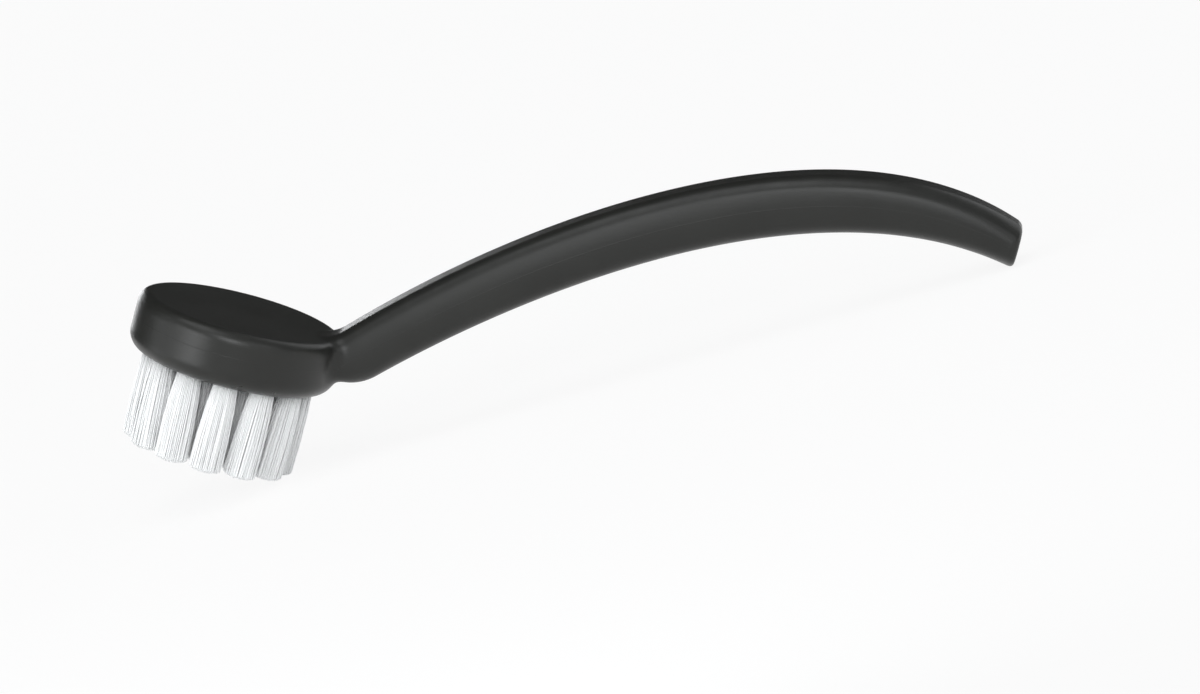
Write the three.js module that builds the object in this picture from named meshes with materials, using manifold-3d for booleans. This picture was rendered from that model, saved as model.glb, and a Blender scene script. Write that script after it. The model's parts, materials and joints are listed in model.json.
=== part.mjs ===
// Juicer cleaning brush: a round head, an arched handle and stiff nylon tufts.
// Sizes are in millimetres and +Z is up. The brush is drawn with its head level, with the middle of
// the head's top face at the origin and the handle towards +X. At the end it is set down the way it
// rests on a table: on the edge of its bristles and on the tip of its handle.

import * as THREE from "three";
import { mergeGeometries, mergeVertices } from "three/addons/utils/BufferGeometryUtils.js";
import Module from "manifold-3d";

// Head: a thick disc with rounded edges
const HEAD_RADIUS = 21;
const HEAD_HEIGHT = 11.7;
const HEAD_TOP_ROUND = 2.3;
const HEAD_BOTTOM_ROUND = 3.5;

// Handle: a rounded bar along an arched centre line that starts inside the head
const NECK_INSET = 4.8;
const NECK_DEPTH = 10.2;
const NECK_ANGLE = 48.6;
const NECK_PULL = 48.5;
const HANDLE_REACH = 123.9;
const HANDLE_RISE = 53.8;
const TIP_ANGLE = -16.6;
const TIP_PULL = 43;
const HANDLE_WIDTH = 13;
const HANDLE_SIDE_CROWN = 0.35;
const HANDLE_EDGE_ROUND = 2.6;
const NECK_THICKNESS = 10.8;
const MIDDLE_THICKNESS = 12;
const TIP_THICKNESS = 8.3;
const TIP_TAPER_POWER = 3.4;
const TIP_TURN_LENGTH = 14;
const TIP_ROUND = 1.3;
const HEEL_HEIGHT = 4.2;
const HEEL_BLEND = 2.9;

// Tufts: one in the centre of the underside and two rings of blind holes round it
const INNER_TUFTS = 6;
const OUTER_TUFTS = 12;
const HOLE_RADIUS = 2.5;
const HOLE_DEPTH = 7.5;
const TUFT_EDGE_MARGIN = 2.6;
const TUFT_TIP_GAP = 0.6;
const TUFT_LEAN = 0.9;
const TUFT_TURN = 3.7;

// Bristles: strands that stand in circles round the middle of each tuft
const BRISTLE_LENGTH = 18.3;
const STRAND_RADIUS = 0.42;
const STRAND_SIDES = 3;
const STRAND_CIRCLES = 2;
const STRANDS_PER_CIRCLE = 6;

// Backing: the slice of the underside that the tufts of one ring share
const BACKING_THICKNESS = 1.5;

// Anchors: flat wire staples that hold the folded bristles down in their holes
const ANCHOR_THICKNESS = 0.35;
const ANCHOR_HEIGHT = 1.8;
const ANCHOR_BITE = 0.25;
const FOLD_THICKNESS = 1;

// Clearance between pieces that touch on the real brush
const FIT_GAP = 0.3;

// Fineness of the round shapes
const HEAD_SIDES = 48;
const ROUND_STEPS = 3;
const HOLE_SIDES = 12;
const NECK_RINGS = 10;
const NECK_SPAN = 0.1;
const HANDLE_RINGS = 24;
const TIP_RINGS = 5;
const SHARPEST_ROUND = 0.3;
const MERGE_DISTANCE = 1e-4;
const REST_STEPS = 40;

// Places that follow from the sizes
const UNDERSIDE = -HEAD_HEIGHT;
const NECK_FLOOR = UNDERSIDE + HEEL_HEIGHT;
const TIP_PLANE = UNDERSIDE - BRISTLE_LENGTH;
const FLAT_RADIUS = HEAD_RADIUS - HEAD_BOTTOM_ROUND;
const OUTER_RING_RADIUS = FLAT_RADIUS - TUFT_EDGE_MARGIN;
const INNER_RING_RADIUS = OUTER_RING_RADIUS / 2;
const BACKING_TOP = UNDERSIDE + BACKING_THICKNESS;
const BACKING_MIDDLE = UNDERSIDE + BACKING_THICKNESS / 2;
const HOLE_TOP = UNDERSIDE + HOLE_DEPTH;
const PLUG_TOP = HOLE_TOP - FIT_GAP;
const PLUG_RADIUS = HOLE_RADIUS - FIT_GAP;
const ANCHOR_LENGTH = 2 * (HOLE_RADIUS + ANCHOR_BITE);
const ANCHOR_MIDDLE = PLUG_TOP - FOLD_THICKNESS - FIT_GAP - ANCHOR_HEIGHT / 2;
const UPRIGHT = Math.PI / 2;

const wasm = await Module();
wasm.setup();

// A solid made of one or more closed shapes that stand clear of each other
function solidOf(...shapes) {
  const joined = mergeGeometries(shapes);
  joined.deleteAttribute("normal");
  joined.deleteAttribute("uv");
  const merged = mergeVertices(joined, MERGE_DISTANCE);
  const corners = merged.index.array;
  const triangles = [];
  for (let first = 0; first < corners.length; first += 3) {
    const [a, b, c] = corners.slice(first, first + 3);
    if (a !== b && b !== c && c !== a) {
      triangles.push(a, b, c);
    }
  }
  const mesh = new wasm.Mesh({
    numProp: 3,
    vertProperties: new Float32Array(merged.attributes.position.array),
    triVerts: new Uint32Array(triangles),
  });
  return new wasm.Manifold(mesh);
}

// The triangles of a solid, ready for a mesh
function geometryOf(solid) {
  const mesh = solid.getMesh();
  const geometry = new THREE.BufferGeometry();
  geometry.setAttribute("position", new THREE.BufferAttribute(mesh.vertProperties, 3));
  geometry.setIndex(new THREE.BufferAttribute(mesh.triVerts, 1));
  geometry.computeVertexNormals();
  return geometry;
}

// A closed skin over rings of points that turn anticlockwise round the way from first to last
function loft(rings) {
  const count = rings[0].length;
  const points = rings.flat().flatMap((point) => point.toArray());
  const triangles = [];
  for (let ring = 0; ring + 1 < rings.length; ring += 1) {
    for (let side = 0; side < count; side += 1) {
      const a = ring * count + side;
      const b = ring * count + ((side + 1) % count);
      triangles.push(a, b, b + count, a, b + count, a + count);
    }
  }
  const last = (rings.length - 1) * count;
  for (let side = 1; side + 1 < count; side += 1) {
    triangles.push(0, side + 1, side, last, last + side, last + side + 1);
  }
  const geometry = new THREE.BufferGeometry();
  geometry.setAttribute("position", new THREE.Float32BufferAttribute(points, 3));
  geometry.setIndex(triangles);
  return geometry;
}

// An upright cylinder between two heights
function post(radius, bottom, top, sides, x = 0, y = 0) {
  const geometry = new THREE.CylinderGeometry(radius, radius, top - bottom, sides);
  return geometry.rotateX(UPRIGHT).translate(x, y, (bottom + top) / 2);
}

// A shape turned round the head's axis from a profile of radii and heights
function turned(profile) {
  return new THREE.LatheGeometry(profile, HEAD_SIDES).rotateX(UPRIGHT);
}

// The unit vector at an angle in degrees above +X, in the plane of the arch
function heading(degrees) {
  const angle = THREE.MathUtils.degToRad(degrees);
  return new THREE.Vector3(Math.cos(angle), 0, Math.sin(angle));
}

// Head
function headSolid() {
  const wall = new THREE.Path();
  wall.moveTo(0, UNDERSIDE);
  wall.lineTo(FLAT_RADIUS, UNDERSIDE);
  wall.absarc(FLAT_RADIUS, UNDERSIDE + HEAD_BOTTOM_ROUND, HEAD_BOTTOM_ROUND, -UPRIGHT, 0, false);
  const topFlat = HEAD_RADIUS - HEAD_TOP_ROUND;
  wall.absarc(topFlat, -HEAD_TOP_ROUND, HEAD_TOP_ROUND, 0, UPRIGHT, false);
  wall.lineTo(0, 0);
  return solidOf(turned(wall.getPoints(ROUND_STEPS)));
}

// Handle
function handleCurve() {
  const start = new THREE.Vector3(HEAD_RADIUS - NECK_INSET, 0, -NECK_DEPTH);
  const end = new THREE.Vector3(HEAD_RADIUS + HANDLE_REACH, 0, HANDLE_RISE);
  const leaving = heading(NECK_ANGLE).multiplyScalar(NECK_PULL).add(start);
  const arriving = heading(TIP_ANGLE).multiplyScalar(-TIP_PULL).add(end);
  return new THREE.CubicBezierCurve3(start, leaving, arriving, end);
}

function handleThickness(share) {
  if (share < 0.5) {
    return THREE.MathUtils.lerp(NECK_THICKNESS, MIDDLE_THICKNESS, Math.sin(Math.PI * share));
  }
  return THREE.MathUtils.lerp(MIDDLE_THICKNESS, TIP_THICKNESS, (2 * share - 1) ** TIP_TAPER_POWER);
}

// A height kept above a floor, with a soft bend where the two meet
function softFloor(height, floor, blend) {
  const overlap = Math.max(blend - Math.abs(height - floor), 0);
  return Math.max(height, floor) + overlap ** 2 / (4 * blend);
}

// The way a section of the handle faces. Near the tip the sections turn away from the centre line,
// until the end face stands parallel to the head's axis.
function sectionFacing(curve, share) {
  const left = (1 - share) * curve.getLength();
  const swing = THREE.MathUtils.smoothstep(TIP_TURN_LENGTH - left, 0, TIP_TURN_LENGTH);
  return curve.getTangentAt(share).lerp(heading(0), swing).normalize();
}

// The handle's section at a share of its length: a rounded bar with crowned sides, drawn in by an inset
function handleRing(curve, share, inset) {
  const middle = curve.getPointAt(share);
  const ahead = sectionFacing(curve, share);
  const outward = new THREE.Vector3(-ahead.z, 0, ahead.x);
  const half = handleThickness(share) / (2 * ahead.dot(curve.getTangentAt(share)));
  const upper = middle.clone().addScaledVector(outward, half);
  const lower = middle.clone().addScaledVector(outward, -half);
  lower.z = softFloor(lower.z, NECK_FLOOR, HEEL_BLEND);
  const centre = upper.clone().lerp(lower, 0.5);
  const rise = upper.clone().sub(lower).normalize();
  const halfThickness = upper.distanceTo(lower) / 2 - inset;
  const halfWidth = HANDLE_WIDTH / 2 - inset;
  const round = Math.min(Math.max(HANDLE_EDGE_ROUND - inset, SHARPEST_ROUND), halfThickness);
  const outline = new THREE.Path();
  outline.moveTo(halfWidth, 0);
  const cornerAcross = halfWidth - HANDLE_SIDE_CROWN - round;
  const cornerUp = halfThickness - round;
  outline.absarc(cornerAcross, cornerUp, round, 0, UPRIGHT, false);
  outline.absarc(-cornerAcross, cornerUp, round, UPRIGHT, 2 * UPRIGHT, false);
  outline.lineTo(-halfWidth, 0);
  outline.absarc(-cornerAcross, -cornerUp, round, 2 * UPRIGHT, 3 * UPRIGHT, false);
  outline.absarc(cornerAcross, -cornerUp, round, 3 * UPRIGHT, 4 * UPRIGHT, false);
  return outline.getPoints(ROUND_STEPS).map((point) =>
    centre.clone().addScaledVector(rise, point.y).setY(point.x),
  );
}

function handleSolid() {
  const curve = handleCurve();
  const tipShare = TIP_ROUND / curve.getLength();
  const rings = [];
  for (let step = 0; step < NECK_RINGS; step += 1) {
    rings.push(handleRing(curve, (NECK_SPAN * step) / NECK_RINGS, 0));
  }
  for (let step = 0; step < HANDLE_RINGS; step += 1) {
    const share = THREE.MathUtils.lerp(NECK_SPAN, 1 - tipShare, step / HANDLE_RINGS);
    rings.push(handleRing(curve, share, 0));
  }
  for (let step = 0; step <= TIP_RINGS; step += 1) {
    const angle = (UPRIGHT * step) / TIP_RINGS;
    const share = 1 - tipShare * (1 - Math.sin(angle));
    rings.push(handleRing(curve, share, TIP_ROUND * (1 - Math.cos(angle))));
  }
  return solidOf(loft(rings));
}

// The places of the tufts of one ring, each with the way it faces from the head's axis. The rings are
// turned a little, so no tuft stands exactly in line with the handle.
function tuftPlaces(count, radius) {
  return Array.from({ length: count }, (_, index) => {
    const facing = THREE.MathUtils.degToRad(TUFT_TURN) + (2 * Math.PI * index) / count;
    return { x: radius * Math.cos(facing), y: radius * Math.sin(facing), facing };
  });
}

const CENTRE_PLACES = tuftPlaces(1, 0);
const INNER_PLACES = tuftPlaces(INNER_TUFTS, INNER_RING_RADIUS);
const OUTER_PLACES = tuftPlaces(OUTER_TUFTS, OUTER_RING_RADIUS);
const ALL_PLACES = [...CENTRE_PLACES, ...INNER_PLACES, ...OUTER_PLACES];

// The tufts lean in towards the head's axis and open until neighbours almost touch
const LEAN_SHARE = TUFT_LEAN / OUTER_RING_RADIUS;
const TUFT_TIP_RADIUS = (INNER_RING_RADIUS * (1 - LEAN_SHARE) - TUFT_TIP_GAP) / 2;

// A flat piece that stands across the hole of a tuft, as the anchor does
function anchorBlock(place, length, clearance) {
  const thickness = ANCHOR_THICKNESS + 2 * clearance;
  const height = ANCHOR_HEIGHT + 2 * clearance;
  return new THREE.BoxGeometry(length, thickness, height).translate(place.x, place.y, ANCHOR_MIDDLE);
}

// Body: head and handle in one piece, with a seat for the backing, blind holes and anchor notches
function bodySolid() {
  const seat = post(FLAT_RADIUS, UNDERSIDE - FIT_GAP, BACKING_TOP + FIT_GAP, HEAD_SIDES);
  const holes = ALL_PLACES.map(({ x, y }) => post(HOLE_RADIUS, BACKING_TOP, HOLE_TOP, HOLE_SIDES, x, y));
  const notchLength = ANCHOR_LENGTH + 2 * FIT_GAP;
  const notches = ALL_PLACES.map((place) => anchorBlock(place, notchLength, FIT_GAP));
  return headSolid()
    .add(handleSolid())
    .subtract(solidOf(seat))
    .subtract(solidOf(...holes))
    .subtract(solidOf(...notches));
}

// One end of a strand: a small polygon at a reach and an angle from the middle of the tuft
function strandRing(place, lean, reach, angle, height) {
  const x = place.x * (1 - lean) + reach * Math.cos(place.facing + angle);
  const y = place.y * (1 - lean) + reach * Math.sin(place.facing + angle);
  return Array.from({ length: STRAND_SIDES }, (_, side) => {
    const turn = place.facing + angle + (2 * Math.PI * (side + 0.5)) / STRAND_SIDES;
    return new THREE.Vector3(x + STRAND_RADIUS * Math.cos(turn), y + STRAND_RADIUS * Math.sin(turn), height);
  });
}

// The strands of one tuft, in circles that open from the hole to the trimmed tips
function tuftStrands(place) {
  const strands = [];
  for (let circle = 0; circle <= STRAND_CIRCLES; circle += 1) {
    const count = Math.max(STRANDS_PER_CIRCLE * circle, 1);
    const spread = circle / STRAND_CIRCLES;
    const rootReach = spread * (HOLE_RADIUS - STRAND_RADIUS);
    const tipReach = spread * (TUFT_TIP_RADIUS - STRAND_RADIUS);
    for (let index = 0; index < count; index += 1) {
      const angle = (2 * Math.PI * (index + 0.5)) / count;
      const tip = strandRing(place, LEAN_SHARE, tipReach, angle, TIP_PLANE);
      const root = strandRing(place, 0, rootReach, angle, BACKING_MIDDLE);
      strands.push(loft([tip, root]));
    }
  }
  return strands;
}

// The tufts of one ring: strands on a slice of the underside, with their folded ends in the holes
function tuftsSolid(places, innerEdge, outerEdge) {
  const profile = [
    new THREE.Vector2(innerEdge, UNDERSIDE),
    new THREE.Vector2(outerEdge, UNDERSIDE),
    new THREE.Vector2(outerEdge, BACKING_TOP),
    new THREE.Vector2(innerEdge, BACKING_TOP),
    new THREE.Vector2(innerEdge, UNDERSIDE),
  ];
  const plugs = places.map(({ x, y }) => post(PLUG_RADIUS, BACKING_MIDDLE, PLUG_TOP, HOLE_SIDES, x, y));
  const windows = places.map((place) => anchorBlock(place, ANCHOR_LENGTH, FIT_GAP));
  return solidOf(turned(profile))
    .add(solidOf(...plugs))
    .subtract(solidOf(...windows))
    .add(solidOf(...places.flatMap(tuftStrands)));
}

// The backing slices meet halfway between the rings
const CENTRE_EDGE = INNER_RING_RADIUS / 2;
const INNER_EDGE = (INNER_RING_RADIUS + OUTER_RING_RADIUS) / 2;
const HALF_GAP = FIT_GAP / 2;

const BLACK_PLASTIC = { color: 0x2c2d2d, roughness: 0.5, metalness: 0 };
const WHITE_NYLON = { color: 0xf0f3f1, roughness: 0.4, metalness: 0 };
const ANCHOR_WIRE = { color: 0xb9b5a6, roughness: 0.35, metalness: 1 };

function piece(name, solid, finish) {
  const mesh = new THREE.Mesh(geometryOf(solid), new THREE.MeshStandardMaterial(finish));
  mesh.name = name;
  return mesh;
}

const centreTuft = tuftsSolid(CENTRE_PLACES, 0, CENTRE_EDGE - HALF_GAP);
const innerTufts = tuftsSolid(INNER_PLACES, CENTRE_EDGE + HALF_GAP, INNER_EDGE - HALF_GAP);
const outerTufts = tuftsSolid(OUTER_PLACES, INNER_EDGE + HALF_GAP, FLAT_RADIUS - FIT_GAP);

const brush = new THREE.Group();
brush.add(piece("brush_body", bodySolid(), BLACK_PLASTIC));
brush.add(piece("tuft_centre", centreTuft, WHITE_NYLON));
brush.add(piece("tufts_inner_ring", innerTufts, WHITE_NYLON));
brush.add(piece("tufts_outer_ring", outerTufts, WHITE_NYLON));
ALL_PLACES.forEach((place, index) => {
  const number = String(index + 1).padStart(2, "0");
  const anchor = solidOf(anchorBlock(place, ANCHOR_LENGTH, 0));
  brush.add(piece(`tuft_anchor_${number}`, anchor, ANCHOR_WIRE));
});

// The lowest height of a piece when the brush is turned about Y
function lowest(name, angle) {
  const places = brush.getObjectByName(name).geometry.attributes.position;
  let height = Infinity;
  for (let index = 0; index < places.count; index += 1) {
    const turnedHeight = places.getZ(index) * Math.cos(angle) - places.getX(index) * Math.sin(angle);
    height = Math.min(height, turnedHeight);
  }
  return height;
}

// The angle at which the bristles and the tip of the handle touch the table together
function restAngle() {
  let low = 0;
  let high = UPRIGHT;
  for (let step = 0; step < REST_STEPS; step += 1) {
    const angle = (low + high) / 2;
    if (lowest("tufts_outer_ring", angle) < lowest("brush_body", angle)) {
      low = angle;
    } else {
      high = angle;
    }
  }
  return low;
}

brush.rotation.y = restAngle();

// The origin lies on the table, under the middle of the brush
const resting = new THREE.Group();
resting.add(brush);
const bounds = new THREE.Box3().setFromObject(resting, true);
const middle = bounds.getCenter(new THREE.Vector3());
resting.position.set(-middle.x, -middle.y, -bounds.min.z);

export default resting;
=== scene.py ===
# %% [markdown]
# # A juicer cleaning brush
# The brush is one black moulding, a thick round head that runs on into an arched handle, with
# nineteen tufts of white nylon stapled into the head's underside. In this lesson the moulding is
# made from two rough shapes that are drawn onto an exact formula of the surface, the bristles grow
# in Geometry Nodes, and the materials come from noise and from values stored on the meshes.

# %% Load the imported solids
import json
import math

import bpy
import numpy as np
from mathutils import Matrix, Vector


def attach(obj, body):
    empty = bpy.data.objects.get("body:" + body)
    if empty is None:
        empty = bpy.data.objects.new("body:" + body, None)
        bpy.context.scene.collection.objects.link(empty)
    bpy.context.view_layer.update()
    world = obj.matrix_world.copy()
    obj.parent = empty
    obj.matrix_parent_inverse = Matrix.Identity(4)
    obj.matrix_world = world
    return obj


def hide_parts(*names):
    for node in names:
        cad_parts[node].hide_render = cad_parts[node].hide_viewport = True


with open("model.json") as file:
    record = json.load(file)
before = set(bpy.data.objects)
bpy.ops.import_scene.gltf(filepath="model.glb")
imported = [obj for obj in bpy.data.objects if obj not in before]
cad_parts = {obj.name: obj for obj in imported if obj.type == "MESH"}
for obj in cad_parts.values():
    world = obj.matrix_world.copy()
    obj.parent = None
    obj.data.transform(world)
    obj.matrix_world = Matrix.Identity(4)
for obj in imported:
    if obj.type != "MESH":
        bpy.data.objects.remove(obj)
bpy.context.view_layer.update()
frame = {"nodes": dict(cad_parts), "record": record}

# %% [markdown]
# ## Where the head is
# The solids lie as the brush rests on a table, so the head is tilted. It is far easier to draw the
# brush with its head level, so everything below is made in the head's own frame: the origin in the
# middle of its top face, +X towards the handle, +Z away from the bristles. One matrix then carries
# each finished mesh to its place. The record's mount on the head's top says where that frame is.

# %% The head's frame
head_top = next(m for m in frame["record"]["mounts"] if m["name"] == "head_top")
TILT = math.atan2(head_top["axis"][0], head_top["axis"][2])
HEAD_TO_REST = Matrix.Translation(head_top["pos_m"]) @ Matrix.Rotation(TILT, 4, "Y")
print(f"the head is tilted by {math.degrees(TILT):.2f} degrees")

# %% [markdown]
# ## The camera
# The photograph looks at the head from a little above its rim, and the whole brush is turned in the
# picture. Those angles were read off the ellipse of the head's top face. A long lens far away keeps
# the near and the far side of the head the same size, as they are in the photograph.

# %% How the photograph looks at the head
PHOTO_WIDTH = 1200
PHOTO_HEIGHT = 694
HEAD_TOP_PIXEL = (243.3, 312.9)
HEAD_ROLL = math.radians(15.12)
VIEW_RISE = math.radians(11.5)
PIXELS_PER_METRE = 5024

head_right = Vector((1, 0, 0))
head_up = Vector((0, math.sin(VIEW_RISE), math.cos(VIEW_RISE)))
picture_right = head_right * math.cos(HEAD_ROLL) + head_up * math.sin(HEAD_ROLL)
picture_up = head_up * math.cos(HEAD_ROLL) - head_right * math.sin(HEAD_ROLL)
across = (PHOTO_WIDTH / 2 - HEAD_TOP_PIXEL[0]) / PIXELS_PER_METRE
upward = (HEAD_TOP_PIXEL[1] - PHOTO_HEIGHT / 2) / PIXELS_PER_METRE
picture_middle = picture_right * across + picture_up * upward

turn = HEAD_TO_REST.to_3x3()
CAMERA_RIGHT = turn @ picture_right
CAMERA_UP = turn @ picture_up
CAMERA_BACK = CAMERA_RIGHT.cross(CAMERA_UP)
AIM = HEAD_TO_REST @ picture_middle
print("the camera aims at", [round(part, 4) for part in AIM])

# %% The camera and its lens
CAMERA_DISTANCE = 1.6
SENSOR_MILLIMETRES = 36
FARTHEST_SEEN = 60

lens = bpy.data.cameras.new("photo_camera")
lens.sensor_width = SENSOR_MILLIMETRES
lens.lens = lens.sensor_width * CAMERA_DISTANCE * PIXELS_PER_METRE / PHOTO_WIDTH
lens.clip_end = FARTHEST_SEEN
camera = bpy.data.objects.new("photo_camera", lens)
bpy.context.collection.objects.link(camera)
axes = Matrix((CAMERA_RIGHT, CAMERA_UP, CAMERA_BACK)).transposed().to_4x4()
camera.matrix_world = Matrix.Translation(AIM + CAMERA_BACK * CAMERA_DISTANCE) @ axes
bpy.context.scene.camera = camera
print(f"lens {lens.lens:.0f} mm at {CAMERA_DISTANCE} m")

# %% [markdown]
# ## The moulding, first roughly
# Head and handle are one piece of plastic. A disc and a bar that overlap would show a hard line
# where they meet, and a bevel on such a line is hard to control. So both are only sketched here as
# closed skins over rings of points: circles for the head, and rounded rectangles for the handle.
# The handle follows one Bezier curve, which needs only its two ends, the angle at each end and how
# far that angle pulls. A voxel remesh then fuses the two into one skin of small, even faces.

# %% Sizes of the moulding, in metres
HEAD_RADIUS = 0.021
HEAD_HEIGHT = 0.0117
HEAD_TOP_ROUND = 0.0023
HEAD_BOTTOM_ROUND = 0.0035
UNDERSIDE = -HEAD_HEIGHT

NECK_INSET = 0.0048
NECK_DEPTH = 0.0102
NECK_START = (HEAD_RADIUS - NECK_INSET, -NECK_DEPTH)
NECK_ANGLE = math.radians(48.6)
NECK_PULL = 0.0485
HANDLE_REACH = 0.1239
HANDLE_RISE = 0.0538
TIP_END = (HEAD_RADIUS + HANDLE_REACH, HANDLE_RISE)
TIP_ANGLE = math.radians(-16.6)
TIP_PULL = 0.043
print(f"the handle ends {1000 * TIP_END[0]:.1f} mm from the head's axis")

# %% The handle's centre line
STATIONS = 500
FINE_POINTS = 20 * STATIONS


def bezier(start, leave, arrive, end, share):
    share = share[:, None]
    rest = 1 - share
    first_half = rest**3 * start + 3 * rest**2 * share * leave
    return first_half + 3 * rest * share**2 * arrive + share**3 * end


def heading(angle):
    return np.array([math.cos(angle), math.sin(angle)])


start = np.array(NECK_START)
end = np.array(TIP_END)
leave = start + NECK_PULL * heading(NECK_ANGLE)
arrive = end - TIP_PULL * heading(TIP_ANGLE)
fine = bezier(start, leave, arrive, end, np.linspace(0, 1, FINE_POINTS))
walked = np.concatenate([[0], np.cumsum(np.linalg.norm(np.diff(fine, axis=0), axis=1))])
HANDLE_LENGTH = walked[-1]
station_at = np.linspace(0, HANDLE_LENGTH, STATIONS)
station = np.stack([np.interp(station_at, walked, fine[:, i]) for i in (0, 1)], axis=1)
ahead = np.gradient(station, axis=0)
ahead /= np.linalg.norm(ahead, axis=1)[:, None]
outward = np.stack([-ahead[:, 1], ahead[:, 0]], axis=1)
print(f"the handle's centre line is {1000 * HANDLE_LENGTH:.1f} mm long")

# %% The handle's thickness
NECK_THICKNESS = 0.0108
MIDDLE_THICKNESS = 0.012
TIP_THICKNESS = 0.0083
TIP_TAPER_POWER = 3.4


def handle_thickness(at):
    """Swells gently from the neck to the middle, then narrows ever faster towards the tip."""
    share = np.clip(at / HANDLE_LENGTH, 0, 1)
    first = NECK_THICKNESS + (MIDDLE_THICKNESS - NECK_THICKNESS) * np.sin(np.pi * share)
    later = np.clip(2 * share - 1, 0, 1) ** TIP_TAPER_POWER
    second = MIDDLE_THICKNESS + (TIP_THICKNESS - MIDDLE_THICKNESS) * later
    return np.where(share < 0.5, first, second)


print(f"the handle is at most {1000 * handle_thickness(station_at).max():.1f} mm thick")

# %% Rough head
RING_POINTS = 64
ROUND_POINTS = 7
circle = np.linspace(0, 2 * np.pi, RING_POINTS, endpoint=False)


def level_ring(radius, height, angles, middle=(0.0, 0.0)):
    x = middle[0] + radius * np.cos(angles)
    y = middle[1] + radius * np.sin(angles)
    return np.stack([x, y, np.full(len(angles), height)], axis=1)


def skin_over(rings):
    """Closed faces over rings of equally many points, each anticlockwise seen from the last."""
    count = len(rings[0])
    faces = []
    for ring in range(len(rings) - 1):
        for side in range(count):
            a = ring * count + side
            b = ring * count + (side + 1) % count
            faces.append((a, b, b + count, a + count))
    last = (len(rings) - 1) * count
    faces.append(tuple(reversed(range(count))))
    faces.append(tuple(range(last, last + count)))
    return np.concatenate(rings), faces


def head_profile():
    low = HEAD_BOTTOM_ROUND
    high = HEAD_TOP_ROUND
    for a in np.linspace(0, np.pi / 2, ROUND_POINTS):
        yield HEAD_RADIUS - low + low * math.sin(a), UNDERSIDE + low - low * math.cos(a)
    for a in np.linspace(0, np.pi / 2, ROUND_POINTS):
        yield HEAD_RADIUS - high + high * math.cos(a), high * math.sin(a) - high


head_rings = [level_ring(radius, height, circle) for radius, height in head_profile()]
head_points, head_faces = skin_over(head_rings)
print("rough head:", len(head_points), "points")

# %% Rough handle
HANDLE_RINGS = 50
SKETCH_ROUND = 0.5
HANDLE_WIDTH = 0.013
HEEL_HEIGHT = 0.0042
HEEL_FLOOR = UNDERSIDE + HEEL_HEIGHT

side_share = np.sign(np.cos(circle)) * np.abs(np.cos(circle)) ** SKETCH_ROUND
rise_share = np.sign(np.sin(circle)) * np.abs(np.sin(circle)) ** SKETCH_ROUND
handle_rings = []
for i in np.linspace(0, STATIONS - 1, HANDLE_RINGS).astype(int):
    lift = rise_share * handle_thickness(station_at[i]) / 2
    x = station[i, 0] + outward[i, 0] * lift
    z = np.maximum(station[i, 1] + outward[i, 1] * lift, HEEL_FLOOR)
    handle_rings.append(np.stack([x, side_share * HANDLE_WIDTH / 2, z], axis=1))
handle_rings[-1][:, 0] = TIP_END[0]
handle_points, handle_faces = skin_over(handle_rings)
print("rough handle:", len(handle_points), "points")

# %% Fuse the two
VOXEL = 0.0005


def make_object(name, points, faces):
    mesh = bpy.data.meshes.new(name)
    mesh.from_pydata([tuple(p) for p in points], [], faces)
    mesh.validate()
    piece = bpy.data.objects.new(name, mesh)
    bpy.context.collection.objects.link(piece)
    return piece


def baked(piece):
    """A plain mesh object with the modifiers of the old one worked in. The old one is removed."""
    depsgraph = bpy.context.evaluated_depsgraph_get()
    mesh = bpy.data.meshes.new_from_object(piece.evaluated_get(depsgraph))
    name = piece.name
    bpy.data.objects.remove(piece)
    mesh.name = name
    result = bpy.data.objects.new(name, mesh)
    bpy.context.collection.objects.link(result)
    return result


moved = [tuple(corner + len(head_points) for corner in face) for face in handle_faces]
rough_points = np.concatenate([head_points, handle_points])
body = make_object("brush_body_skin", rough_points, head_faces + moved)
remesh = body.modifiers.new("one_skin", "REMESH")
remesh.mode = "VOXEL"
remesh.voxel_size = VOXEL
body = baked(body)
print("fused skin:", len(body.data.polygons), "faces")

# %% [markdown]
# ## The moulding, exactly
# A signed distance says for any point how far it is from a surface: below zero inside, above zero
# outside. The head is a rounded box swept round its axis. The handle is a bar with rounded long
# edges along its centre line, with a soft floor under its neck. Its end stands upright to the
# head's top face, and its edges have a smaller rounding of their own, so the bar is one side of a
# second rounded box. A smooth minimum of head and handle adds the small fillet where they meet.
# Each point of the fused skin is then moved along the slope of that distance until it is zero, so
# the even faces of the remesh lie on a perfectly smooth moulding.


# %% Distance to the head
def rounded_box(out, radius):
    """Distance to a box with rounded edges, from how far a point is outside each pair of sides."""
    inner = out + np.reshape(radius, (-1, 1))
    beyond = np.linalg.norm(np.maximum(inner, 0), axis=1)
    return beyond + np.minimum(inner.max(axis=1), 0) - radius


def head_sides(points):
    radial = np.hypot(points[:, 0], points[:, 1]) - HEAD_RADIUS
    level = np.abs(points[:, 2] + HEAD_HEIGHT / 2) - HEAD_HEIGHT / 2
    radius = np.where(points[:, 2] > -HEAD_HEIGHT / 2, HEAD_TOP_ROUND, HEAD_BOTTOM_ROUND)
    return np.stack([radial, level], axis=1), radius


head_middle = np.array([[0, 0, UNDERSIDE / 2]])
head_depth = -1000 * rounded_box(*head_sides(head_middle))[0]
print(f"the middle of the head lies {head_depth:.2f} mm deep")

# %% Places along the handle
SEARCH_CHUNK = 4000


def nearest_station(points):
    found = []
    for first in range(0, len(points), SEARCH_CHUNK):
        flat = points[first : first + SEARCH_CHUNK][:, [0, 2]]
        gap = (flat[:, None, :] - station[None, :, :]) ** 2
        found.append(gap.sum(axis=2).argmin(axis=1))
    return np.concatenate(found)


def handle_place(points, near):
    """How far along the centre line a point is, and how far above it."""
    offset = points[:, [0, 2]] - station[near]
    return station_at[near] + (offset * ahead[near]).sum(1), (offset * outward[near]).sum(1)


print("the middle of the head is nearest to station", nearest_station(head_middle)[0])

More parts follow.
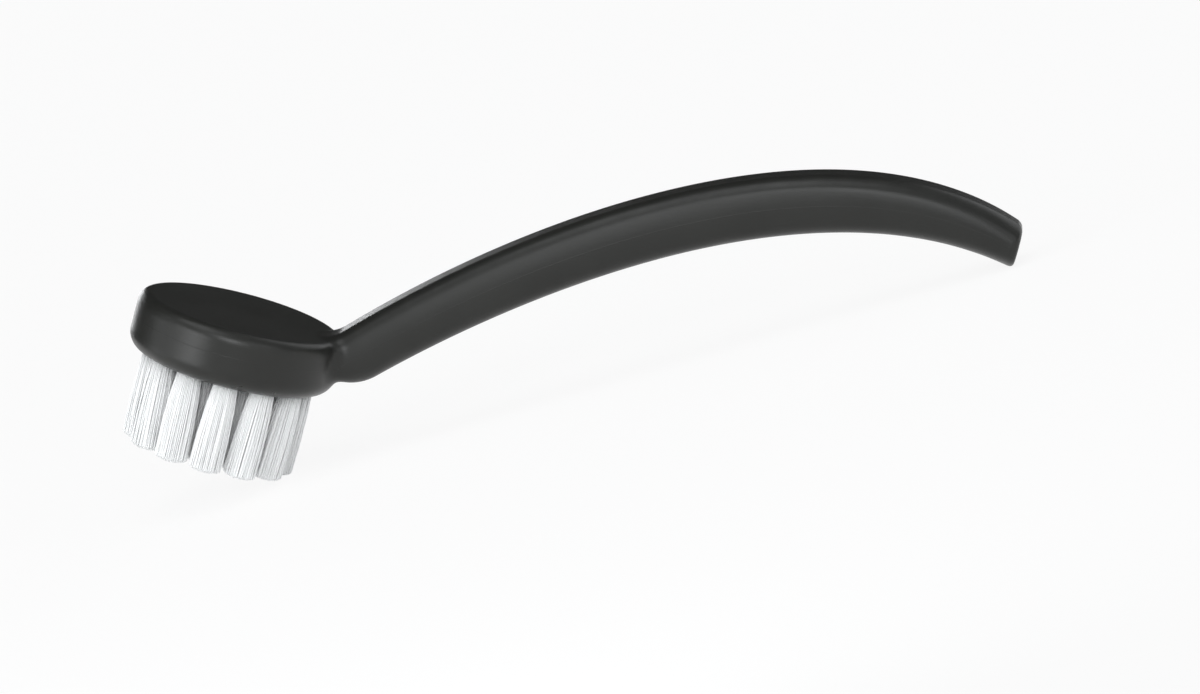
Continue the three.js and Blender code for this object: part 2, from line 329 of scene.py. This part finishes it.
# %% Distance to the handle and to the whole moulding
HANDLE_SIDE_CROWN = 0.00035
HANDLE_EDGE_ROUND = 0.0026
TIP_ROUND = 0.0013
HEEL_BLEND = 0.0029
NECK_FILLET = 0.0026


def soft_max(a, b, blend):
    overlap = np.maximum(blend - np.abs(a - b), 0)
    return np.maximum(a, b) + overlap**2 / (4 * blend)


def bar_sides(points, near):
    """The handle as an endless bar: how far out a point is sideways, and upward or downward."""
    along, above = handle_place(points, near)
    half = handle_thickness(along) / 2
    crown = HANDLE_SIDE_CROWN * (above / (half - HANDLE_EDGE_ROUND)) ** 2
    sideways = np.abs(points[:, 1]) - HANDLE_WIDTH / 2 + crown
    under = soft_max(-above - half, HEEL_FLOOR - points[:, 2], HEEL_BLEND)
    return np.stack([sideways, np.maximum(above - half, under)], axis=1)


def handle_sides(points, near):
    """How far out a point is from that bar, and beyond its two ends."""
    bar = rounded_box(bar_sides(points, near), HANDLE_EDGE_ROUND)
    ends = np.maximum(points[:, 0] - TIP_END[0], -handle_place(points, near)[0])
    return np.stack([bar, ends], axis=1)


def moulding_distance(points, near):
    head = rounded_box(*head_sides(points))
    handle = rounded_box(handle_sides(points, near), TIP_ROUND)
    return -soft_max(-head, -handle, NECK_FILLET)


handle_middle = np.array([[station[STATIONS // 2, 0], 0, station[STATIONS // 2, 1]]])
handle_depth = -1000 * moulding_distance(handle_middle, nearest_station(handle_middle))[0]
print(f"the middle of the handle lies {handle_depth:.2f} mm deep")

# %% Draw the skin onto the exact surface
PROBE = 2e-6
ROUNDS = 4
LEAST_STEEPNESS = 0.25


def drawn_on(points):
    for _ in range(ROUNDS):
        near = nearest_station(points)
        gap = moulding_distance(points, near)
        slope = np.empty_like(points)
        for axis in range(3):
            probe = np.zeros(3)
            probe[axis] = PROBE
            ahead_gap = moulding_distance(points + probe, near)
            slope[:, axis] = (ahead_gap - moulding_distance(points - probe, near)) / (2 * PROBE)
        steepness = np.maximum((slope**2).sum(axis=1), LEAST_STEEPNESS)
        points = points - slope * (gap / steepness)[:, None]
    return points, np.abs(gap).max()


skin_points = np.empty(3 * len(body.data.vertices))
body.data.vertices.foreach_get("co", skin_points)
skin_points, miss = drawn_on(skin_points.reshape(-1, 3))
body.data.vertices.foreach_set("co", skin_points.ravel())
body.data.update()
print(f"farthest point before the last round: {1e6 * miss:.1f} micrometres off")

# %% [markdown]
# ## Values for the material
# Two things on a moulding follow its shape: the fine seam where the two halves of the mould met,
# and the edges that hands polish. Both are known from the distances above, so they are stored on
# the points as attributes, where the material can read them.

# %% Seam and edge values
SEAM_HEIGHT = -0.005
EDGE_GAIN = 2


def edge_share(out, radius):
    """Above zero on the rounding between two sides, below zero on the flats."""
    return np.sort(out + np.reshape(radius, (-1, 1)), axis=1)[:, -2] / radius


def seam_and_edge(points):
    near = nearest_station(points)
    head_out, head_round = head_sides(points)
    handle_out = handle_sides(points, near)
    on_head = rounded_box(head_out, head_round) < rounded_box(handle_out, TIP_ROUND)
    seam = np.where(on_head, points[:, 2] - SEAM_HEIGHT, handle_place(points, near)[1])
    long_edges = edge_share(bar_sides(points, near), HANDLE_EDGE_ROUND)
    handle_edges = np.maximum(long_edges, edge_share(handle_out, TIP_ROUND))
    edges = np.where(on_head, edge_share(head_out, head_round), handle_edges)
    return seam, np.clip(EDGE_GAIN * edges, 0, 1)


for name, values in zip(("seam", "edge"), seam_and_edge(skin_points)):
    attribute = body.data.attributes.new(name, "FLOAT", "POINT")
    attribute.data.foreach_set("value", values.astype(np.float32))
print("stored:", [a.name for a in body.data.attributes if a.name in ("seam", "edge")])

# %% [markdown]
# ## The tuft holes
# Each tuft sits in a blind hole: twelve in a ring near the rim, six in a ring inside it and one in
# the middle. Dark discs painted on the underside would look flat from below, so the holes are cut
# with a boolean. The cutting posts have a small flare at the mouth, because the edge of a hole
# gives way a little when the tuft is driven in.

# %% Places of the tufts
OUTER_TUFTS = 12
INNER_TUFTS = 6
TUFT_EDGE_MARGIN = 0.0026
TUFT_TURN = math.radians(3.7)
OUTER_RING_RADIUS = HEAD_RADIUS - HEAD_BOTTOM_ROUND - TUFT_EDGE_MARGIN
INNER_RING_RADIUS = OUTER_RING_RADIUS / 2


def tuft_places(count, radius):
    facings = [TUFT_TURN + 2 * math.pi * i / count for i in range(count)]
    return [(radius * math.cos(facing), radius * math.sin(facing)) for facing in facings]


PLACES = [(0.0, 0.0)]
PLACES += tuft_places(INNER_TUFTS, INNER_RING_RADIUS)
PLACES += tuft_places(OUTER_TUFTS, OUTER_RING_RADIUS)
print("tufts:", len(PLACES))

# %% Cut the blind holes
HOLE_RADIUS = 0.0025
HOLE_DEPTH = 0.0075
HOLE_SIDES = 32
MOUTH_FLARE = 0.00008
CUTTER_OVERLAP = 0.001
SHARP_ANGLE = math.radians(35)


def hole_cutter():
    angles = np.linspace(0, 2 * np.pi, HOLE_SIDES, endpoint=False)
    profile = [
        (HOLE_RADIUS + MOUTH_FLARE, UNDERSIDE - CUTTER_OVERLAP),
        (HOLE_RADIUS + MOUTH_FLARE, UNDERSIDE),
        (HOLE_RADIUS, UNDERSIDE + 2 * MOUTH_FLARE),
        (HOLE_RADIUS, UNDERSIDE + HOLE_DEPTH),
    ]
    all_points = []
    all_faces = []
    for middle in PLACES:
        rings = [level_ring(radius, height, angles, middle) for radius, height in profile]
        hole_points, hole_faces = skin_over(rings)
        first = sum(len(p) for p in all_points)
        all_points.append(hole_points)
        all_faces += [tuple(corner + first for corner in face) for face in hole_faces]
    return make_object("hole_cutter", np.concatenate(all_points), all_faces)


cutter = hole_cutter()
holes = body.modifiers.new("tuft_holes", "BOOLEAN")
holes.operation = "DIFFERENCE"
holes.solver = "EXACT"
holes.object = cutter
body = baked(body)
bpy.data.objects.remove(cutter)
body.data.transform(HEAD_TO_REST)
body.data.shade_smooth()
body.data.set_sharp_from_angle(angle=SHARP_ANGLE)
print("moulding:", len(body.data.polygons), "faces")

# %% [markdown]
# ## Black moulded plastic
# The plastic is almost black and satin. Its mould was spark-eroded, which leaves a grain too fine
# to model, so the grain is bump from noise. A second, wide noise shifts colour and roughness a
# little, because no moulding is even, and the stored values draw the mould seam and the polished
# edges.


# %% A new material
def add_node(tree, kind, inputs=None, **settings):
    """Adds a node. Its inputs are values, or outputs of other nodes to link from."""
    node = tree.nodes.new(kind)
    for name, value in settings.items():
        setattr(node, name, value)
    for key, value in (inputs or {}).items():
        if isinstance(value, bpy.types.NodeSocket):
            tree.links.new(value, node.inputs[key])
        else:
            node.inputs[key].default_value = value
    return node


def new_material(name):
    material = bpy.data.materials.new(name)
    material.use_nodes = True
    tree = material.node_tree
    tree.nodes.clear()
    shader = add_node(tree, "ShaderNodeBsdfPrincipled")
    output = add_node(tree, "ShaderNodeOutputMaterial")
    tree.links.new(shader.outputs[0], output.inputs["Surface"])
    return material, tree, shader


plastic, tree, shader = new_material("black_moulded_plastic")
print("new material:", plastic.name)

# %% Clouds and worn edges of the plastic
CLOUDS_PER_METRE = 60
WEAR_PER_METRE = 240
NOISE_ROUGHNESS = 0.55
RUBBED_RANGE = (0.4, 0.65)


def calc(tree, operation, *terms):
    """The output of a Math node."""
    return add_node(tree, "ShaderNodeMath", dict(enumerate(terms)), operation=operation).outputs[0]


def noise(tree, place, scale, detail):
    inputs = {"Vector": place, "Scale": scale, "Detail": detail, "Roughness": NOISE_ROUGHNESS}
    return add_node(tree, "ShaderNodeTexNoise", inputs).outputs["Fac"]


def remap(tree, value, low, high, to_low, to_high):
    inputs = {"Value": value, "From Min": low, "From Max": high}
    inputs.update({"To Min": to_low, "To Max": to_high})
    return add_node(tree, "ShaderNodeMapRange", inputs).outputs["Result"]


place = add_node(tree, "ShaderNodeTexCoord").outputs["Object"]
edge = add_node(tree, "ShaderNodeAttribute", attribute_name="edge").outputs["Fac"]
clouds = noise(tree, place, CLOUDS_PER_METRE, detail=3)
rubbed = remap(tree, noise(tree, place, WEAR_PER_METRE, detail=4), *RUBBED_RANGE, 0, 1)
worn = calc(tree, "MULTIPLY", edge, rubbed)
print("nodes so far:", len(tree.nodes))

# %% Colour and polish of the plastic
CLOUD_RANGE = (0.3, 0.7)
TINT_RANGE = (0.3, 1.1)
PLASTIC_DARK = (0.013, 0.0135, 0.012)
PLASTIC_LIGHT = (0.0195, 0.02, 0.018)
PLASTIC_MIRROR = 0.37
SATIN_LOW = 0.33
SATIN_HIGH = 0.4
WEAR_TINT = 0.5
WEAR_POLISH = 0.08


def mix_colours(tree, share, first, second):
    """The Mix node has several sockets called A and B, so its colour sockets go by number."""
    inputs = {"Factor": share, 6: (*first, 1), 7: (*second, 1)}
    return add_node(tree, "ShaderNodeMix", inputs, data_type="RGBA").outputs[2]


tint = calc(tree, "ADD", clouds, calc(tree, "MULTIPLY", worn, WEAR_TINT))
colour = mix_colours(tree, remap(tree, tint, *TINT_RANGE, 0, 1), PLASTIC_DARK, PLASTIC_LIGHT)
satin = remap(tree, clouds, *CLOUD_RANGE, SATIN_LOW, SATIN_HIGH)
satin = calc(tree, "SUBTRACT", satin, calc(tree, "MULTIPLY", worn, WEAR_POLISH))
tree.links.new(colour, shader.inputs["Base Color"])
tree.links.new(satin, shader.inputs["Roughness"])
shader.inputs["Specular IOR Level"].default_value = PLASTIC_MIRROR
print("nodes so far:", len(tree.nodes))

# %% Seam and grain of the plastic
SEAM_HALF_WIDTH = 0.00012
SEAM_DEPTH = 0.00004
SEAM_STRENGTH = 0.4
GRAIN_PER_METRE = 5200
GRAIN_DEPTH = 0.00002
GRAIN_STRENGTH = 0.5


def bump(tree, height, strength, depth, **under):
    inputs = {"Height": height, "Strength": strength, "Distance": depth, **under}
    return add_node(tree, "ShaderNodeBump", inputs).outputs[0]


seam = add_node(tree, "ShaderNodeAttribute", attribute_name="seam").outputs["Fac"]
line = remap(tree, calc(tree, "ABSOLUTE", seam), 0, SEAM_HALF_WIDTH, 1, 0)
ridge = bump(tree, line, SEAM_STRENGTH, SEAM_DEPTH)
grain = noise(tree, place, GRAIN_PER_METRE, detail=2)
grained = bump(tree, grain, GRAIN_STRENGTH, GRAIN_DEPTH, Normal=ridge)
tree.links.new(grained, shader.inputs["Normal"])
body.data.materials.clear()
body.data.materials.append(plastic)
print("material:", body.data.materials[0].name, "with", len(tree.nodes), "nodes")

# %% [markdown]
# ## White nylon
# Nylon filaments are slightly clear, so light that enters one comes out of its neighbours, and a
# tuft glows softly from inside. Plain white would look like chalk, and real transparency through
# thousands of filaments would be slow to render. Subsurface scattering over about a filament's
# width gives that glow. Each filament carries a random tone of its own.

# %% Nylon material
NYLON_DARK = (0.94, 0.952, 0.948)
NYLON_LIGHT = (0.968, 0.976, 0.976)
NYLON_DULL = 0.42
NYLON_SHINY = 0.3
NYLON_IOR = 1.53
GLOW_SHARE = 0.3
GLOW_REACH = 0.0001
MOTTLE_PER_METRE = 900
MOTTLE_RANGE = (0.2, 1.3)
TONE_SHARE = 0.7

nylon, tree, shader = new_material("white_nylon")
tone = add_node(tree, "ShaderNodeAttribute", attribute_name="tone").outputs["Fac"]
place = add_node(tree, "ShaderNodeTexCoord").outputs["Object"]
mottle = noise(tree, place, MOTTLE_PER_METRE, detail=2)
mottled = calc(tree, "ADD", calc(tree, "MULTIPLY", tone, TONE_SHARE), mottle)
colour = mix_colours(tree, remap(tree, mottled, *MOTTLE_RANGE, 0, 1), NYLON_DARK, NYLON_LIGHT)
gloss = remap(tree, mottled, *MOTTLE_RANGE, NYLON_DULL, NYLON_SHINY)
tree.links.new(colour, shader.inputs["Base Color"])
tree.links.new(gloss, shader.inputs["Roughness"])
shader.inputs["Subsurface Weight"].default_value = GLOW_SHARE
shader.inputs["Subsurface Radius"].default_value = (1.0, 1.0, 1.0)
shader.inputs["Subsurface Scale"].default_value = GLOW_REACH
shader.inputs["IOR"].default_value = NYLON_IOR
print("material:", nylon.name, "with", len(tree.nodes), "nodes")

# %% [markdown]
# ## Bristles in Geometry Nodes
# A tuft is a bundle of filaments folded into its hole, so they stand close together at the root and
# open towards the trimmed tips. Blender's hair could draw them, but it has no faces, and this brush
# is to be all mesh. So one tree makes all tufts of a ring. It sets one point for each filament,
# works out from the point's number which tuft it belongs to and where in the tuft it stands, on the
# spiral that sunflower seeds follow, and puts a thin five-sided filament there. A tuft opens faster
# near its hole than at its tips, so each filament is bowed outward a little, and small random
# shifts with a fixed seed keep the tufts from looking combed.

# %% The bristle tree's inputs
TREE_INPUTS = [
    ("Tufts", "NodeSocketInt"),
    ("Filaments", "NodeSocketInt"),
    ("Ring radius", "NodeSocketFloat"),
    ("Ring turn", "NodeSocketFloat"),
    ("Root radius", "NodeSocketFloat"),
    ("Tip radius", "NodeSocketFloat"),
    ("Root height", "NodeSocketFloat"),
    ("Tip height", "NodeSocketFloat"),
    ("Lean", "NodeSocketFloat"),
    ("Flare", "NodeSocketFloat"),
    ("Dome", "NodeSocketFloat"),
    ("Unevenness", "NodeSocketFloat"),
    ("Filament radius", "NodeSocketFloat"),
    ("Seed", "NodeSocketInt"),
    ("Material", "NodeSocketMaterial"),
]

bristle_tree = bpy.data.node_groups.new("tuft_bristles", "GeometryNodeTree")
tree = bristle_tree
for name, kind in TREE_INPUTS:
    tree.interface.new_socket(name, in_out="INPUT", socket_type=kind)
tree.interface.new_socket("Geometry", in_out="OUTPUT", socket_type="NodeSocketGeometry")
given = add_node(tree, "NodeGroupInput").outputs
print("inputs:", [name for name, _ in TREE_INPUTS])

# %% Which tuft a filament is in, and where it stands there
GOLDEN_ANGLE = math.pi * (3 - math.sqrt(5))

index = add_node(tree, "GeometryNodeInputIndex").outputs[0]
tuft = calc(tree, "FLOOR", calc(tree, "DIVIDE", index, given["Filaments"]))
number = calc(tree, "SUBTRACT", index, calc(tree, "MULTIPLY", tuft, given["Filaments"]))
tuft_step = calc(tree, "DIVIDE", 2 * math.pi, given["Tufts"])
facing = calc(tree, "ADD", calc(tree, "MULTIPLY", tuft, tuft_step), given["Ring turn"])
filled = calc(tree, "DIVIDE", calc(tree, "ADD", number, 0.5), given["Filaments"])
from_middle = calc(tree, "SQRT", filled)
angle = calc(tree, "ADD", calc(tree, "MULTIPLY", number, GOLDEN_ANGLE), facing)
print("nodes so far:", len(tree.nodes))


# %% Where a filament starts
def vector_calc(tree, operation, *terms, output=0):
    """An output of a Vector Math node."""
    node = add_node(tree, "ShaderNodeVectorMath", dict(enumerate(terms)), operation=operation)
    return node.outputs[output]


def circle_point(tree, reach, angle, height):
    x = calc(tree, "MULTIPLY", reach, calc(tree, "COSINE", angle))
    y = calc(tree, "MULTIPLY", reach, calc(tree, "SINE", angle))
    return add_node(tree, "ShaderNodeCombineXYZ", {"X": x, "Y": y, "Z": height}).outputs[0]


middle = circle_point(tree, given["Ring radius"], facing, 0.0)
root_reach = calc(tree, "MULTIPLY", from_middle, given["Root radius"])
root_spot = circle_point(tree, root_reach, angle, given["Root height"])
root = vector_calc(tree, "ADD", middle, root_spot)
print("nodes so far:", len(tree.nodes))

# %% Where a filament ends, and how it bows
DOME_POWER = 3.0
TIP_DRAW = 1
BOW_DRAW = 11


def scaled(tree, vector, factor):
    node = add_node(tree, "ShaderNodeVectorMath", {0: vector, "Scale": factor}, operation="SCALE")
    return node.outputs[0]


def random_vector(tree, spread, draw):
    """Three random numbers between minus and plus spread. The draw's number tells them apart."""
    parts = {}
    for i, axis in enumerate("XYZ"):
        seed = calc(tree, "ADD", given["Seed"], float(draw + i))
        # The sockets 2 and 3 are the lowest and the highest number of a Float draw.
        inputs = {2: calc(tree, "MULTIPLY", spread, -1.0), 3: spread, "Seed": seed}
        node = add_node(tree, "FunctionNodeRandomValue", inputs, data_type="FLOAT")
        parts[axis] = node.outputs[1]
    return add_node(tree, "ShaderNodeCombineXYZ", parts).outputs[0]


dome = calc(tree, "MULTIPLY", given["Dome"], calc(tree, "POWER", from_middle, DOME_POWER))
tip_height = calc(tree, "ADD", given["Tip height"], dome)
tip_reach = calc(tree, "MULTIPLY", from_middle, given["Tip radius"])
tip_spot = circle_point(tree, tip_reach, angle, tip_height)
leaning = scaled(tree, middle, calc(tree, "SUBTRACT", 1.0, given["Lean"]))
tip = vector_calc(tree, "ADD", leaning, tip_spot)
tip = vector_calc(tree, "ADD", tip, random_vector(tree, given["Unevenness"], TIP_DRAW))
flare = circle_point(tree, calc(tree, "MULTIPLY", from_middle, given["Flare"]), angle, 0.0)
bow = vector_calc(tree, "ADD", flare, random_vector(tree, given["Unevenness"], BOW_DRAW))
print("nodes so far:", len(tree.nodes))

# %% One filament, a post in even steps that narrows at its very tip
FILAMENT_SIDES = 5
FILAMENT_STEPS = 4
STEP_STRETCH = 1.3
TIP_CHAMFER = 0.6
ALMOST_ONE = 0.9999

post = add_node(tree, "GeometryNodeMeshCylinder", {
    "Vertices": FILAMENT_SIDES, "Side Segments": FILAMENT_STEPS, "Fill Segments": 1,
    "Radius": given["Filament radius"], "Depth": 1.0}).outputs["Mesh"]
post_place = add_node(tree, "GeometryNodeInputPosition").outputs[0]
parts = add_node(tree, "ShaderNodeSeparateXYZ", {0: post_place}).outputs
# The post reaches from -0.5 to 0.5, so half is added. Stretched and then cut off at one, its last
# step becomes a short one for the tip.
stretched = calc(tree, "MULTIPLY", calc(tree, "ADD", parts["Z"], 0.5), STEP_STRETCH)
height = calc(tree, "MINIMUM", stretched, 1.0)
at_tip = calc(tree, "GREATER_THAN", height, ALMOST_ONE)
width = calc(tree, "SUBTRACT", 1.0, calc(tree, "MULTIPLY", at_tip, 1 - TIP_CHAMFER))
narrowed = add_node(tree, "ShaderNodeCombineXYZ", {
    "X": calc(tree, "MULTIPLY", parts["X"], width),
    "Y": calc(tree, "MULTIPLY", parts["Y"], width), "Z": height}).outputs[0]
inputs = {"Geometry": post, "Position": narrowed}
filament = add_node(tree, "GeometryNodeSetPosition", inputs).outputs[0]
print("nodes so far:", len(tree.nodes))


# %% A filament on every point
def store(tree, geometry, name, value, kind):
    inputs = {"Geometry": geometry, "Name": name}
    node = add_node(tree, "GeometryNodeStoreNamedAttribute", inputs, data_type=kind, domain="POINT")
    tree.links.new(value, node.inputs["Value"])
    return node.outputs[0]


total = calc(tree, "MULTIPLY", given["Tufts"], given["Filaments"])
points = add_node(tree, "GeometryNodePoints", {"Count": total, "Position": root}).outputs[0]
tone = add_node(tree, "FunctionNodeRandomValue", data_type="FLOAT").outputs[1]
points = store(tree, points, "tone", tone, "FLOAT")
points = store(tree, points, "bow", bow, "FLOAT_VECTOR")
way = vector_calc(tree, "SUBTRACT", tip, root)
length = vector_calc(tree, "LENGTH", way, output="Value")
turned = add_node(tree, "FunctionNodeAlignRotationToVector", {"Vector": way}, axis="Z").outputs[0]
size = add_node(tree, "ShaderNodeCombineXYZ", {"X": 1.0, "Y": 1.0, "Z": length}).outputs[0]
placed = add_node(tree, "GeometryNodeInstanceOnPoints", {
    "Points": points, "Instance": filament, "Rotation": turned, "Scale": size}).outputs[0]
realised = add_node(tree, "GeometryNodeRealizeInstances", {0: placed}).outputs[0]
print("nodes so far:", len(tree.nodes))

# %% Bow, smooth and paint the filaments
HUMP_GAIN = 4.0  # The share times the rest is a quarter at most, halfway along

now_at = add_node(tree, "GeometryNodeInputPosition").outputs[0]
height = add_node(tree, "ShaderNodeSeparateXYZ", {0: now_at}).outputs["Z"]
share = remap(tree, height, given["Root height"], given["Tip height"], 0.0, 1.0)
hump = calc(tree, "MULTIPLY", share, calc(tree, "SUBTRACT", 1.0, share))
inputs = {"Name": "bow"}
node = add_node(tree, "GeometryNodeInputNamedAttribute", inputs, data_type="FLOAT_VECTOR")
shift = scaled(tree, node.outputs[0], calc(tree, "MULTIPLY", hump, HUMP_GAIN))
inputs = {"Geometry": realised, "Offset": shift}
bowed = add_node(tree, "GeometryNodeSetPosition", inputs).outputs[0]
smooth = add_node(tree, "GeometryNodeSetShadeSmooth", {"Geometry": bowed}).outputs[0]
inputs = {"Geometry": smooth, "Material": given["Material"]}
painted = add_node(tree, "GeometryNodeSetMaterial", inputs).outputs[0]
add_node(tree, "NodeGroupOutput", {"Geometry": painted})
print("bristle tree:", len(tree.nodes), "nodes")

# %% Sizes of the bristles, in metres
BRISTLE_LENGTH = 0.0183
TUFT_LEAN = 0.0009
TUFT_FLARE = 0.00035
TUFT_TIP_GAP = 0.0006
LEAN_SHARE = TUFT_LEAN / OUTER_RING_RADIUS
TUFT_TIP_RADIUS = (INNER_RING_RADIUS * (1 - LEAN_SHARE) - TUFT_TIP_GAP) / 2
FILAMENTS = 300
FILAMENT_RADIUS = 0.00014
ROOT_IN_HOLE = 0.0012
TIP_DOME = 0.0007
UNEVENNESS = 0.00012
print(f"tufts open from {2000 * HOLE_RADIUS:.1f} to {2000 * TUFT_TIP_RADIUS:.1f} mm across")


# %% Grow the three sets of tufts
def grow_ring(name, tufts, ring_radius, seed):
    values = {
        "Tufts": tufts,
        "Filaments": FILAMENTS,
        "Ring radius": ring_radius,
        "Ring turn": TUFT_TURN,
        "Root radius": HOLE_RADIUS - 2 * FILAMENT_RADIUS,
        "Tip radius": TUFT_TIP_RADIUS,
        "Root height": UNDERSIDE + ROOT_IN_HOLE,
        "Tip height": UNDERSIDE - BRISTLE_LENGTH,
        "Lean": LEAN_SHARE,
        "Flare": TUFT_FLARE,
        "Dome": TIP_DOME,
        "Unevenness": UNEVENNESS,
        "Filament radius": FILAMENT_RADIUS,
        "Seed": seed,
        "Material": nylon,
    }
    holder = make_object(name, [(0, 0, 0)], [])
    modifier = holder.modifiers.new("bristles", "NODES")
    modifier.node_group = bristle_tree
    for item in bristle_tree.interface.items_tree:
        if item.in_out == "INPUT":
            modifier[item.identifier] = values[item.name]
    ring = baked(holder)
    ring.data.transform(HEAD_TO_REST)
    triangles = sum(len(face.vertices) - 2 for face in ring.data.polygons)
    print(f"{name}: {tufts} tufts of {FILAMENTS} filaments, {triangles} triangles")
    return ring


outer_bristles = grow_ring("bristles_outer_ring", OUTER_TUFTS, OUTER_RING_RADIUS, seed=3)
inner_bristles = grow_ring("bristles_inner_ring", INNER_TUFTS, INNER_RING_RADIUS, seed=5)
centre_bristles = grow_ring("bristles_centre", 1, 0.0, seed=7)

# %% [markdown]
# ## Anchors
# The little wire staples that hold the tufts down are hidden inside the head. Their solids are
# right as they are, so they stay and only get a drawn-wire finish: noise pulled long in one
# direction, as the die's scratches are.

# %% Anchor wire
WIRE_STREAKS = (300.0, 6000.0, 6000.0)
STREAK_RANGE = (0.3, 0.7)
WIRE_DARK = (0.50, 0.47, 0.38)
WIRE_LIGHT = (0.64, 0.61, 0.52)
WIRE_SHINY = 0.28
WIRE_DULL = 0.45

wire, tree, shader = new_material("drawn_anchor_wire")
place = add_node(tree, "ShaderNodeTexCoord").outputs["Object"]
pulled = vector_calc(tree, "MULTIPLY", place, WIRE_STREAKS)
streaks = noise(tree, pulled, 1.0, detail=3)
colour = mix_colours(tree, streaks, WIRE_DARK, WIRE_LIGHT)
tree.links.new(colour, shader.inputs["Base Color"])
gloss = remap(tree, streaks, *STREAK_RANGE, WIRE_SHINY, WIRE_DULL)
tree.links.new(gloss, shader.inputs["Roughness"])
shader.inputs["Metallic"].default_value = 1.0

anchors = [o for name, o in frame["nodes"].items() if name.startswith("tuft_anchor_")]
for anchor in anchors:
    anchor.data.materials.clear()
    anchor.data.materials.append(wire)
print("anchors:", len(anchors))

# %% [markdown]
# ## The table
# The photograph shows the brush on plain white. A white world alone would leave it floating without
# a shadow, so there is a table, a wide white floor. To the camera, and in whatever mirrors it, most
# of it is an even white glow, and the rest is its own shading, so that a faint shadow still shows
# where the brush stands.

# %% Floor
FLOOR_RADIUS = 12.0
FLOOR_SIDES = 96
FLOOR_GLOW = 0.89
FLOOR_WHITE = 0.95
FLOOR_ROUGHNESS = 0.9

floor_paint, tree, shader = new_material("white_floor")
shader.inputs["Base Color"].default_value = (FLOOR_WHITE, FLOOR_WHITE, FLOOR_WHITE, 1)
shader.inputs["Roughness"].default_value = FLOOR_ROUGHNESS
shader.inputs["Specular IOR Level"].default_value = 0.0
rays = add_node(tree, "ShaderNodeLightPath").outputs
mirrored = calc(tree, "MAXIMUM", rays["Is Glossy Ray"], rays["Is Transmission Ray"])
seen = calc(tree, "MAXIMUM", rays["Is Camera Ray"], mirrored)
share = calc(tree, "MULTIPLY", seen, FLOOR_GLOW)
inputs = {"Color": (1, 1, 1, 1), "Strength": 1.0}
white = add_node(tree, "ShaderNodeEmission", inputs).outputs[0]
inputs = {0: share, 1: shader.outputs[0], 2: white}
mixed = add_node(tree, "ShaderNodeMixShader", inputs).outputs[0]
tree.links.new(mixed, tree.nodes["Material Output"].inputs["Surface"])

rim = np.linspace(0, 2 * np.pi, FLOOR_SIDES, endpoint=False)
floor = make_object("floor", level_ring(FLOOR_RADIUS, 0.0, rim), [tuple(range(FLOOR_SIDES))])
floor.data.materials.append(floor_paint)
print(f"floor: {2 * FLOOR_RADIUS:.0f} m across")

# %% [markdown]
# ## The light
# The photograph is lit softly from the camera's side and from the left. Wide suns in a ring stand
# in for a bright studio all round, so no side of the brush goes dark. Black plastic shows its lamps
# as highlights rather than as brightness, and a sun lights the whole brush alike. So two soft boxes
# stand close to the head: one draws the highlight on the head's wall, and the other lets the side
# of the handle darken towards its tip. All lamps are placed by their angle from the camera.

# %% Suns all round
SUNS = [
    # Name, degrees to the right of the camera, degrees up, degrees wide, strength
    ("front", 4, 20, 25, 0.65),
    ("upper_front", -10, 40, 40, 0.35),
    ("front_right", 40, 15, 40, 0.35),
    ("left", -60, 15, 35, 0.5),
    ("far_left", -95, 12, 25, 0.3),
    ("upper_left", -75, 45, 40, 0.25),
    ("upper_right", 70, 45, 80, 0.5),
    ("above", 0, 75, 40, 0.6),
    ("back_right", 130, 20, 40, 0.35),
    ("back_left", -165, 8, 20, 0.5),
]
SUN_DISTANCE = 1.0
LAMP_COLOUR = (0.97, 0.985, 1.0)
TOWARDS_CAMERA = Vector((CAMERA_BACK.x, CAMERA_BACK.y, 0)).normalized()


def hang_lamp(name, kind, aside, up, distance):
    """A lamp that shines on the head and isn't seen itself. Its light data are returned."""
    level = Matrix.Rotation(math.radians(aside), 3, "Z") @ TOWARDS_CAMERA
    rise = math.radians(up)
    towards = level * math.cos(rise) + Vector((0, 0, math.sin(rise)))
    light = bpy.data.lights.new(name, kind)
    light.color = LAMP_COLOUR
    lamp = bpy.data.objects.new(name, light)
    lamp.location = Vector(head_top["pos_m"]) + towards * distance
    lamp.rotation_euler = towards.to_track_quat("Z", "Y").to_euler()
    lamp.visible_camera = False
    bpy.context.collection.objects.link(lamp)
    return light


for name, aside, up, spread, strength in SUNS:
    light = hang_lamp(name, "SUN", aside, up, SUN_DISTANCE)
    light.angle = math.radians(spread)
    light.energy = strength
print("suns:", len(SUNS))

# %% Soft boxes near the head
SOFT_BOXES = [
    # Name, degrees to the right, degrees up, metres away, metres wide, strength at the head
    ("near_front", -2, 10, 0.35, 0.12, 0.35),
    ("near_left", -45, 12, 0.40, 0.15, 0.72),
]

for name, aside, up, distance, width, strength in SOFT_BOXES:
    light = hang_lamp(name, "AREA", aside, up, distance)
    light.size = width
    light.energy = strength * math.pi * distance**2

# %% World
WORLD_STRENGTH = 0.045

world = bpy.data.worlds.new("studio")
world.use_nodes = True
backdrop = world.node_tree.nodes["Background"]
backdrop.inputs["Color"].default_value = (1, 1, 1, 1)
backdrop.inputs["Strength"].default_value = WORLD_STRENGTH
bpy.context.scene.world = world
bpy.context.scene.view_settings.view_transform = "Standard"
print("world:", world.name)

# %% [markdown]
# ## Tie the pieces to the solids
# The brush has no joints, so everything rides on its one body. Each new piece is tied to that
# body, and the solids it stands for are hidden.

# %% Tie each piece and hide its solids
TIES = [
    (body, "body_plastic", "brush_body"),
    (outer_bristles, "bristle_nylon", "tufts_outer_ring"),
    (inner_bristles, "bristle_nylon", "tufts_inner_ring"),
    (centre_bristles, "bristle_nylon", "tuft_centre"),
]
for piece, slot, node in TIES:
    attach(piece, "root")
    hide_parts(node)
